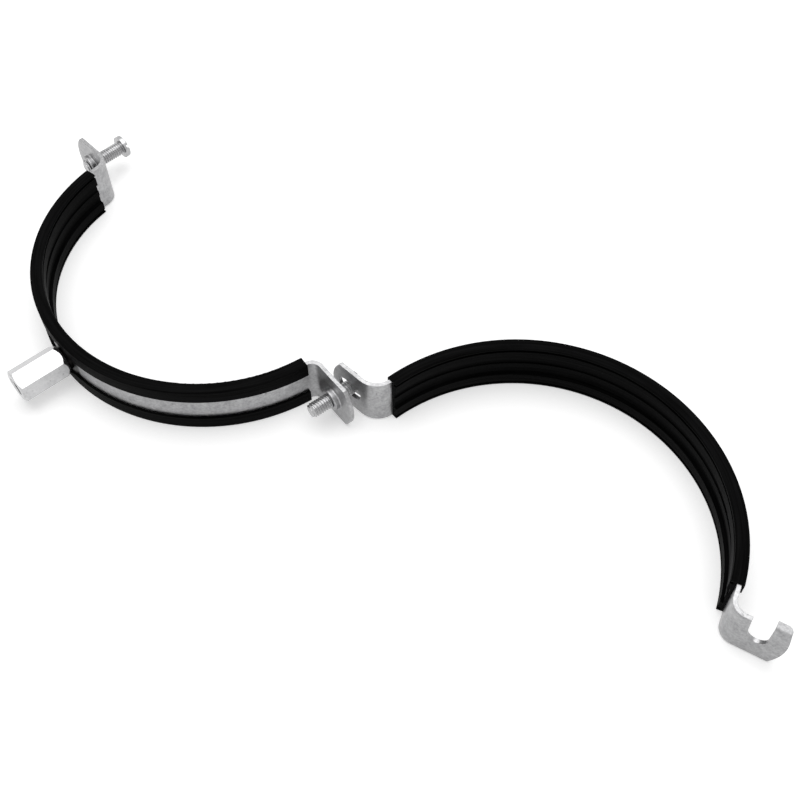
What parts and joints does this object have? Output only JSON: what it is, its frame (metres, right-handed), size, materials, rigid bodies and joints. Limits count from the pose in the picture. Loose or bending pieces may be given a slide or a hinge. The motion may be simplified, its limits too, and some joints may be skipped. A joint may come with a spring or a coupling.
{
  "type": "rubber lined pipe clamp",
  "caption": "Open steel pipe clamp with rubber lining: two curved strips joined by a hinge screw, a hooked flange for the lock screw and a threaded hexagon boss.",
  "frame": {"origin": "pipe axis of the lower half, at mid width", "axes": "+Z along the pipe axis, -Y out of the threaded boss, +X towards the hinge screw"},
  "size_m": [0.344, 0.1727, 0.0224],
  "materials": {
    "strip_steel": "zinc-plated, satin",
    "boss_steel": "zinc-plated, bright",
    "screw_steel": "zinc-plated, satin",
    "lining_rubber": "matte black, lightly sheened ribs"
  },
  "bodies": {
    "lower_half": {"lower_band": "strip_steel", "lower_lining": "lining_rubber", "boss_nut": "boss_steel"},
    "lock_screw": {"lock_screw": "screw_steel"},
    "hinge_screw": {"hinge_screw": "screw_steel"},
    "upper_half": {"upper_band": "strip_steel", "upper_lining": "lining_rubber"}
  },
  "joints": [
    {"name": "lock_screw_travel", "type": "slide", "parent": "lower_half", "child": "lock_screw", "axis": [-0.0541, 0.9985, 0], "range_m": [-0.0045, 0.0025]},
    {"name": "hinge_screw_travel", "type": "slide", "parent": "lower_half", "child": "hinge_screw", "axis": [0.0541, 0.9985, 0], "range_m": [-0.0032, 0]},
    {"name": "upper_half_swing", "type": "hinge", "parent": "hinge_screw", "child": "upper_half", "pos_m": [0.08201, 0.00178, 0], "axis": [0.1075, -0.9942, 0], "range_deg": [0, 179.4]}
  ]
}
